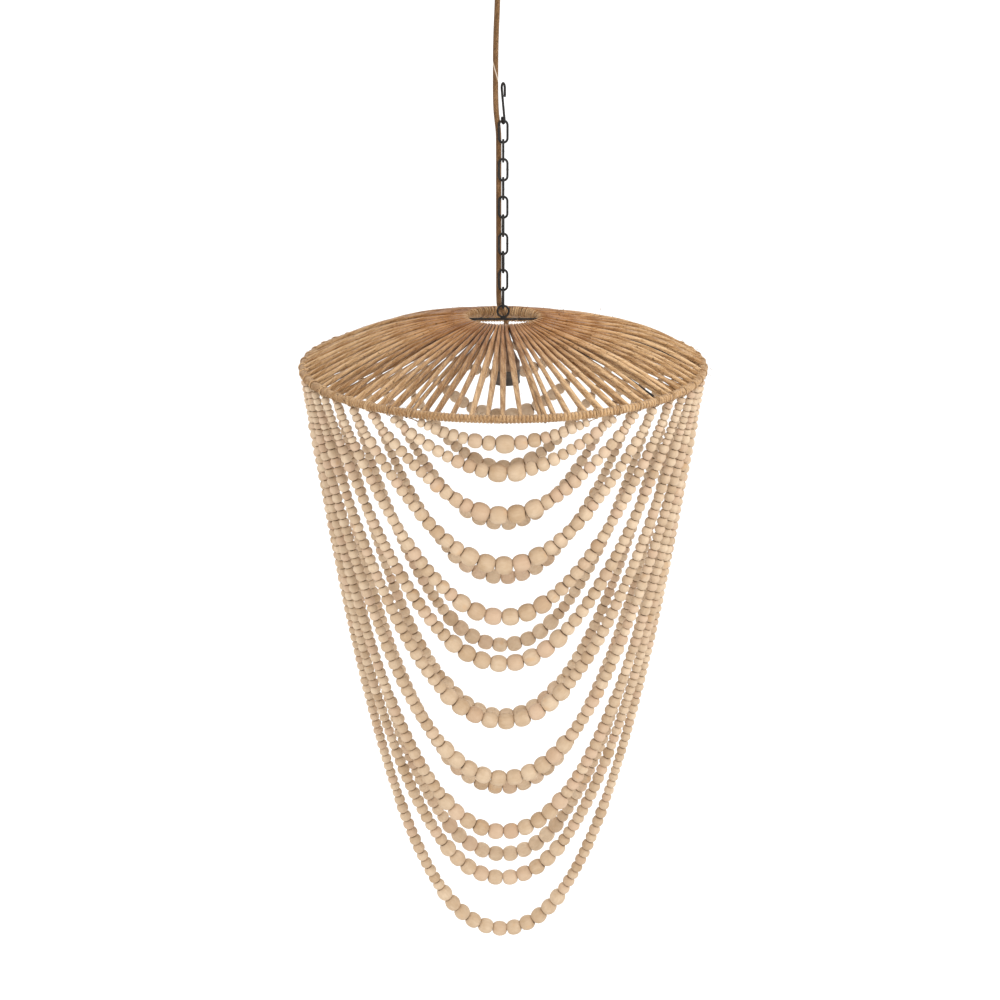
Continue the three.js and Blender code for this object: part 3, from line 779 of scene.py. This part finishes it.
def wood_finish():
    """Raw turned wood: pale and matt, with faint grain along each bead and beads that differ a little in
    tone.
    Painted shade darkens the flat ends of each bead, so that dark creases show where beads meet, and painted
    light makes the smaller beads and the back strings lighter in tone."""
    material, flow, shader = new_finish("raw_wood", Roughness=0.7, Specular_IOR_Level=0.25)
    grain = flow.add("ShaderNodeAttribute", {"attribute_name": "grain"}, None, 1)
    tone = flow.add("ShaderNodeAttribute", {"attribute_name": "tone"}, None, 2)
    warmth = flow.add("ShaderNodeAttribute", {"attribute_name": "warmth"}, None, 2)
    mouth = flow.add("ShaderNodeAttribute", {"attribute_name": "mouth"}, None, 2)
    line = grain.noise(300, 3, (1, 1, 0.12))
    fine = grain.noise(1500, 2, (1, 1, 0.1))
    cloud = grain.noise(70, 2)
    shade = 0.5 + (line - 0.5) * 0.3 + (fine - 0.5) * 0.16 + (cloud - 0.5) * 0.5 + (tone - 0.5) * 0.6
    ramp = flow.add("ShaderNodeValToRGB", {"stops": wood_stops}, {0: shade})
    pinker = (warmth.between(0.6, 1) * 0.5).blend(ramp, pink_wood)
    knot = (grain.noise(45, 1).between(0.66, 0.76) * 0.5).blend(pinker, knotty_wood)
    # Painted shade: the flat ends of each bead turn dark brown, as creases in shade where the beads meet.
    colour = (mouth.between(0.15, 0.9) * 0.72).blend(knot, crease_shade_wood)
    lay_on(flow, shader, colour, 0.6 + line * 0.2, line * 0.5 + fine * 0.5, 0.00015)
    return material


wood = wood_finish()
twine_jute, flow, shader, colour, height = jute_finish("twine_jute", 2, 0.005, jute_tones)
lay_on(flow, shader, colour, None, height, 0.0004)


def hang(half_span, drop, large_run, medium_run, heaviness):
    """How a string hangs: its slope anywhere is the weight of the beads below over one steady pull. Marches
    up from the lowest point and finds the pull with which the string meets its knots. The more a bead's
    weight grows with its width, by the power heaviness, the more pointed the loop."""
    steps = 2000
    step = (half_span + drop) / steps
    weights = []
    for place in range(steps):
        run = place * step
        bead = large_bead if run < large_run else medium_bead if run < large_run + medium_run else small_bead
        weights.append((bead / large_bead) ** heaviness * step)

    def march(pull):
        across, up, weight = 0.0, 0.0, 0.0
        route = [(0.0, 0.0, 0.0)]
        for part in weights:
            weight += part
            length = math.hypot(weight, pull)
            across += step * pull / length
            up += step * weight / length
            route.append((across, up, math.atan2(weight, pull)))
            if up >= drop or across > 2 * half_span:
                break
        return route

    weakest, strongest = half_span / steps, half_span * steps
    for _ in range(50):
        pull = math.sqrt(weakest * strongest)
        if march(pull)[-1][0] > half_span:
            strongest = pull
        else:
            weakest = pull
    return march(weakest), step


def spun_form(outline, sides, closed=False):
    """An outline of (radius, height) turned about the upright line. It ends on that line or is closed."""
    form = bmesh.new()
    corners = [form.verts.new((out, 0, up)) for out, up in outline]
    pairs = zip(corners, [*corners[1:], corners[0]] if closed else corners[1:])
    edges = [form.edges.new(pair) for pair in pairs]
    full_turn = {"cent": (0, 0, 0), "axis": (0, 0, 1), "angle": 2 * math.pi, "use_merge": True}
    bmesh.ops.spin(form, geom=corners + edges, steps=sides, **full_turn)
    return form


def bead_form(diameter, pitch, sides, rounds):
    """One turned bead: a ball cut flat at both ends, with the mouth of its hole at each."""
    radius, half = diameter / 2, pitch / 2 * 0.99
    flat = radius * 0.38
    outline = [(0, half * 0.82), (radius * 0.14, half * 0.975), (flat, half)]
    for step in range(1, rounds + 1):
        angle = math.pi / 2 * step / rounds
        outline.append((flat + (radius - flat) * math.sin(angle), half * math.cos(angle)))
    outline += [(out, -up) for out, up in outline[-2::-1]]
    return finished_mesh(spun_form(outline, sides), "bead", merge=1e-5)


bead_sizes = {
    "large": (large_bead, large_pitch),
    "medium": (medium_bead, medium_pitch),
    "small": (small_bead, small_pitch),
    "tiny": (tiny_bead, tiny_pitch),
}
# Painted light: the smaller beads get a lighter tone, which stands in for light among the crowded strings.
bead_tones = {"large": 0.38, "medium": 0.45, "small": 0.65, "tiny": 0.8}
bead_faces = {"large": (16, 4), "medium": (14, 3), "small": (12, 3), "tiny": (10, 3)}
bead_forms = {size: bead_form(*bead_sizes[size], *bead_faces[size]) for size in bead_sizes}


def bead_runs(end_run, large_count, stub, aside):
    """Where along a string the middle of each bead is, its size, its swell and its stretch. Runs go from the
    lowest point, which is 0, to the right; the large beads' middle is that far aside."""
    runs = []
    half = large_count * large_pitch / 2
    for bead in range(large_count):
        run = aside - half + (bead + 0.5) * large_pitch
        runs.append((run, "large", chance.uniform(0.97, 1.02), 1))
    for hand in (1, -1):
        start = half + hand * aside
        rest = end_run - start - stub
        tiny_run = min(tiny_longest, tiny_share * rest)
        medium_run = min(medium_longest, medium_share * (rest - tiny_run))
        small_run = rest - tiny_run - medium_run
        for size, run in (("medium", medium_run), ("small", small_run), ("tiny", tiny_run)):
            swell = first_swells[size]
            pitch = bead_sizes[size][1]
            lengths = [chance.uniform(0.92, 1.08) for _ in range(max(1, round(run / pitch)))]
            share = run / sum(lengths)
            for number, length in enumerate(lengths):
                taper = swell - (swell - last_swell) * number / len(lengths)
                girth = taper * (1 + (length - 1) * 0.4) * chance.uniform(0.975, 1.025)
                middle = hand * (start + length * share / 2)
                runs.append((middle, size, min(girth, widest_swell), length * share / pitch))
                start += length * share
    return runs


def place_on(route, step, run):
    """Where a route is at a run along it, and how it slants there."""
    index = min(int(run / step), len(route) - 2)
    share = run / step - index
    return [a + share * (b - a) for a, b in zip(route[index], route[index + 1])]


def string_mesh(name, places, painted_light):
    """Beads at places of (middle, way of the string, size, swell, stretch), with their grain and tone."""
    form = bmesh.new()
    grain = form.verts.layers.float_vector.new("grain")
    tone = form.verts.layers.float.new("tone")
    warmth = form.verts.layers.float.new("warmth")
    mouth = form.verts.layers.float.new("mouth")
    for middle, way, size, swell, stretch in places:
        known = len(form.verts)
        form.from_mesh(bead_forms[size])
        form.verts.ensure_lookup_table()
        corners = form.verts[known:]
        flat = bead_sizes[size][0] * mouth_share
        offset = Vector([chance.uniform(0, 9) for _ in range(3)])
        # Painted light: the back strings' beads are shifted to a lighter tone.
        bead_tone = min(1, max(0, chance.gauss(bead_tones[size] + painted_light, tone_spread)))
        bead_warmth = chance.random()
        for corner in corners:
            corner[grain] = corner.co + offset
            corner[tone] = bead_tone
            corner[warmth] = bead_warmth
            # The flat ends are marked here for the painted shade of the creases between beads.
            corner[mouth] = 1 if math.hypot(corner.co.x, corner.co.y) < flat else 0
        lean = Matrix.Rotation(math.radians(chance.gauss(0, bead_lean)), 4, "X")
        lean = lean @ Matrix.Rotation(math.radians(chance.gauss(0, bead_lean)), 4, "Y")
        turn = way.to_track_quat("Z", "Y").to_matrix().to_4x4() @ lean
        spin = Matrix.Rotation(chance.uniform(0, 2 * math.pi), 4, "Z")
        size_matrix = Matrix.Diagonal((swell, swell, stretch, 1))
        seat = Matrix.Translation(middle) @ turn @ size_matrix @ spin
        bmesh.ops.transform(form, matrix=seat, verts=corners)
    return mesh_of(form, name)


last = len(drop_shares) - 1
angle_step = (math.pi / 2 - first_string) / last
knots = []
for index, share in enumerate(drop_shares):
    angle = first_string + index * angle_step
    half_span = rim_radius * math.sin(angle)
    drop = knot_height - rim_height + longest_drop * share
    large_run = large_counts[index] * large_pitch / 2
    side_run = math.hypot(half_span, drop) - large_run
    medium_run = min(medium_longest, hanging_medium_share * side_run)
    route, step = hang(half_span, drop, large_run, medium_run, 2 - share)
    end_run = (len(route) - 1) * step
    low = knot_height - route[-1][1]
    stub = max(0.003, (tiny_bead / 2 + knot_gap) / math.sin(route[-2][2]) - tiny_pitch / 2)
    sides = [("middle", 0)] if index == last else [("front", -1), ("back", 1)]
    for side, way in sides:
        depth = way * rim_radius * math.cos(angle)
        aside = large_asides[index] if way <= 0 else chance.uniform(-0.006, 0.006)
        places = []
        for run, size, swell, stretch in bead_runs(end_run, large_counts[index], stub, aside):
            hand = math.copysign(1, run)
            across, up, slant = place_on(route, step, abs(run))
            middle = Vector((hand * across, depth, low + up))
            direction = Vector((hand * math.cos(slant), 0, math.sin(slant)))
            places.append((middle, direction, size, swell, stretch))
        name = "bead_string_middle" if index == last else f"bead_string_{side}_{index + 1:02}"
        beads = string_mesh(name, places, back_painted_light if way > 0 else 0)
        place_piece(name.replace("bead_string", "beads"), beads, wood, name, [name], 48)
        spaced = [*route[:: max(1, len(route) // 50)][:-1], place_on(route, step, end_run - stub), route[-1]]
        line = [Vector((across, depth, low + up)) for across, up, _ in spaced]
        line = [Vector((-place.x, place.y, place.z)) for place in line[:0:-1]] + line
        twine = cord_mesh(f"twine_{side}_{index + 1:02}", [line], twine_radius, rounds=1)
        place_piece(name.replace("bead_string", "twine"), twine, twine_jute, name)
        knots += [(hand * angle if way <= 0 else math.pi - hand * angle) for hand in (1, -1)]

knot_routes = []
for angle in knots:
    around = Vector((math.sin(angle), -math.cos(angle), 0))
    middle = around * rim_radius + Vector((0, 0, rim_height))
    along = Vector((math.cos(angle), math.sin(angle), 0))
    for shift in (-0.0007, 0.0009):
        loop = []
        for step in range(knot_steps):
            turn = 2 * math.pi * step / knot_steps - math.pi / 2
            reach = rim_wrap + 0.0004
            point = middle + around * reach * math.cos(turn) + Vector((0, 0, reach * math.sin(turn)))
            loop.append(point + along * shift * (1 + math.sin(turn)))
        knot_routes.append(loop)
knot_mesh = cord_mesh("knots", knot_routes, twine_radius * 0.9, rounds=1, closed=True)
place_piece("knots", knot_mesh, twine_jute, "shade", sharp=180)


# Lamp socket: a pressed shell with a bronzed cap, and inside it a moulded insulator that holds the brass
# thread shell and the centre contact. The cord comes in through a bushing in the cap.
socket_foot = Vector((socket_aside, cord_side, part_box("socket_shell")[0].z))
socket_radius = 0.0215
socket_wall = 0.0015
shell_height = 0.022
cap_foot = shell_height + 0.0003
cap_top = cap_foot + 0.033


def turned(name, outline, foot, sides=48):
    """A shape turned about the upright line through its foot, from a closed outline of (radius, height)."""
    return finished_mesh(spun_form(outline, sides, closed=True), name, Matrix.Translation(foot))


def metal_finish(name, dark, light, metallic, roughness):
    """Plated metal with soft stains and fine turning lines."""
    material, flow, shader = new_finish(name, Metallic=metallic)
    place = flow.add("ShaderNodeTexCoord", None, None, 3)
    stain = place.noise(90, 4)
    line = place.noise(500, 3, (0.05, 0.05, 4))
    colour = (stain * 0.8 + line * 0.3).between(0.35, 0.8).blend(dark, light)
    lay_on(flow, shader, colour, roughness + stain * 0.2, line, 0.0001)
    return material


bronze = metal_finish("bronze", (0.130, 0.078, 0.046), (0.270, 0.175, 0.110), 0.6, 0.35)
blackened = metal_finish("blackened", (0.045, 0.037, 0.030), (0.120, 0.095, 0.074), 0.5, 0.42)
brass = metal_finish("brass", (0.56, 0.36, 0.12), (0.80, 0.58, 0.26), 1, 0.18)
phenolic = metal_finish("phenolic", (0.018, 0.014, 0.012), (0.040, 0.032, 0.027), 0, 0.35)

shell_outline = [
    (socket_radius - socket_wall, 0.0004),
    (socket_radius - socket_wall / 2, 0),
    (socket_radius - 0.0003, 0.0004),
    (socket_radius, 0.0012),
    (socket_radius - 0.0003, 0.0030),
    (socket_radius - 0.0007, 0.0035),
    (socket_radius - 0.0007, 0.0175),
    (socket_radius - 0.0002, 0.0182),
    (socket_radius, 0.0190),
    (socket_radius, 0.0212),
    (socket_radius - 0.0004, shell_height),
    (socket_radius - socket_wall, shell_height),
]
shell = turned("shell", shell_outline, socket_foot)
place_piece("shell", shell, blackened, "lamp_socket", ["socket_shell"], 30)
cap_outline = [
    (socket_radius - socket_wall, cap_foot),
    (socket_radius - 0.0003, cap_foot),
    (socket_radius, cap_foot + 0.0006),
    (socket_radius, cap_foot + 0.0024),
    (socket_radius - 0.0006, cap_foot + 0.0030),
    (socket_radius - 0.0006, cap_foot + 0.0112),
    (socket_radius - 0.0014, cap_foot + 0.0128),
    (socket_radius - 0.0034, cap_foot + 0.0152),
    (0.0128, cap_foot + 0.0262),
    (0.0114, cap_foot + 0.0288),
    (0.0110, cap_foot + 0.0310),
    (0.0108, cap_top - 0.0004),
    (0.0102, cap_top),
    (0.0062, cap_top),
    (0.0060, cap_top - 0.0030),
    (0.0095, cap_top - 0.0030),
    (socket_radius - socket_wall, cap_foot + 0.0120),
]
cap = turned("cap", cap_outline, socket_foot)
place_piece("cap", cap, bronze, "lamp_socket", ["socket_cap"], 30)
bushing_outline = [
    (0.0043, cap_top - 0.005),
    (0.0057, cap_top - 0.005),
    (0.0057, cap_top + 0.0036),
    (0.0054, cap_top + 0.0046),
    (0.0048, cap_top + 0.0050),
    (0.0043, cap_top + 0.0048),
]
bushing = turned("bushing", bushing_outline, socket_foot)
place_piece("bushing", bushing, phenolic, "lamp_socket", ["socket_cord_bushing"], 30)
insulator_outline = [
    (0.0141, socket_wall + 0.0003),
    (0.0145, socket_wall),
    (0.0192, socket_wall),
    (0.0197, socket_wall + 0.0005),
    (0.0197, 0.0290),
    (0.0192, 0.0295),
    (0.0020, 0.0295),
    (0.0020, 0.0238),
    (0.0141, 0.0238),
]
insulator = turned("insulator", insulator_outline, socket_foot)
place_piece("insulator", insulator, phenolic, "lamp_socket", ["socket_insulator"], 30)
thread_pitch = 0.0036
thread_depth = 0.0003
thread_steps = 24
thread_top = socket_wall + 0.022


def thread_wave(radius):
    """One side of the thread from its foot up: a wave about a radius, in four steps to a pitch."""
    wave = []
    for step in range(thread_steps):
        up = socket_wall + 0.0006 + step * thread_pitch / 4
        wave.append((radius + thread_depth * math.cos(step * math.pi / 2), up))
    return wave


thread_outline = [(0.0130, socket_wall), (0.0137, socket_wall), *thread_wave(0.0134)]
thread_outline += [(0.0137, thread_top), (0.0130, thread_top), *reversed(thread_wave(0.0128))]
thread_shell = turned("thread_shell", thread_outline, socket_foot)
place_piece("thread_shell", thread_shell, brass, "lamp_socket", ["socket_thread_shell"], 80)
contact_outline = [
    (0, 0.0220),
    (0.0025, 0.0221),
    (0.0037, 0.0225),
    (0.0040, 0.0230),
    (0.0040, 0.0235),
    (0, 0.0235),
]
contact = turned("contact", contact_outline, socket_foot, 24)
place_piece("contact", contact, brass, "lamp_socket", ["socket_contact"], 60)


# Ceiling canopy: a dish pressed from sheet iron, closed on the ceiling by its collar. The cord leaves it
# through a moulded grip.
canopy_foot = Vector((ceiling_aside, 0, 0.138))
canopy_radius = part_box("canopy_collar")[1].x - canopy_foot.x
canopy_wall = 0.0015
canopy_hole = 0.0063
canopy_side = canopy_radius - canopy_wall
canopy_lip = canopy_radius - 0.008
canopy_shoulder = canopy_radius * 0.87
canopy_outline = [
    (canopy_hole, 0),
    (0.0280, 0),
    (0.0300, 0.0002),
    (0.0320, 0.0009),
    (canopy_shoulder - 0.0016, 0.0073),
    (canopy_shoulder, 0.0081),
    (canopy_shoulder + 0.0012, 0.0094),
    (canopy_radius - 0.0006, 0.0168),
    (canopy_radius - 0.0001, 0.0177),
    (canopy_radius, 0.0187),
    (canopy_radius, 0.0232),
    (canopy_radius - 0.0006, 0.0240),
    (canopy_lip, 0.0240),
    (canopy_lip, 0.0225),
    (canopy_side, 0.0225),
    (canopy_side, 0.0180),
    (canopy_shoulder - 0.0006, 0.0095),
    (0.0310, 0.0022),
    (0.0285, canopy_wall),
    (canopy_hole, canopy_wall),
]
canopy = turned("canopy", canopy_outline, canopy_foot, 72)
canopy = place_piece("canopy", canopy, iron, "hanger", ["canopy_dish", "canopy_collar"], 24)
grip_outline = [
    (0.0043, -0.0220),
    (0.0048, -0.0223),
    (0.0053, -0.0215),
    (0.0054, -0.0180),
    (0.0058, -0.0176),
    (0.0058, -0.0150),
    (0.0055, -0.0146),
    (0.0056, -0.0125),
    (0.0060, -0.0121),
    (0.0060, 0.0018),
    (0.0090, 0.0018),
    (0.0090, 0.0042),
    (0.0086, 0.0045),
    (0.0043, 0.0045),
]
grip = turned("grip", grip_outline, canopy_foot, 36)
grip = place_piece("grip", grip, phenolic, "hanger", ["canopy_cord_grip"], 30)


# Studio: a white floor far below, an even white sky, a wide soft lamp at the upper right and a weaker one
# at the lower left.
floor_height = -2.3
aim = Vector((0, 0, -0.8))
floor_form = bmesh.new()
bmesh.ops.create_grid(floor_form, x_segments=1, y_segments=1, size=30)
floor_mesh = finished_mesh(floor_form, "floor", Matrix.Translation((0, 0, floor_height)))
floor = bpy.data.objects.new("floor", floor_mesh)
bpy.context.scene.collection.objects.link(floor)
paper, flow, shader = new_finish("paper", Roughness=1)
place = flow.add("ShaderNodeTexCoord", None, None, 3)
lay_on(flow, shader, place.noise(2, 2).blend((0.93, 0.93, 0.93), (0.95, 0.95, 0.95)))
floor.data.materials.append(paper)
world = bpy.data.worlds.new("studio")
world.use_nodes = True
sky = world.node_tree.nodes["Background"]
sky.inputs["Color"].default_value = (1, 1, 1, 1)
sky.inputs["Strength"].default_value = 1.3
bpy.context.scene.world = world
lamps = [("key", (1.3, -1.9, 0.9), 31, 1.4), ("fill", (-2.3, -1.6, -0.4), 8, 2.0)]
for name, place, power, size in lamps:
    lamp = bpy.data.objects.new(name, bpy.data.lights.new(name, "AREA"))
    lamp.data.energy = power
    lamp.data.size = size
    lamp.location = place
    lamp.rotation_euler = (aim - Vector(place)).to_track_quat("-Z", "Y").to_euler()
    bpy.context.scene.collection.objects.link(lamp)
bpy.context.scene.view_settings.view_transform = "Standard"
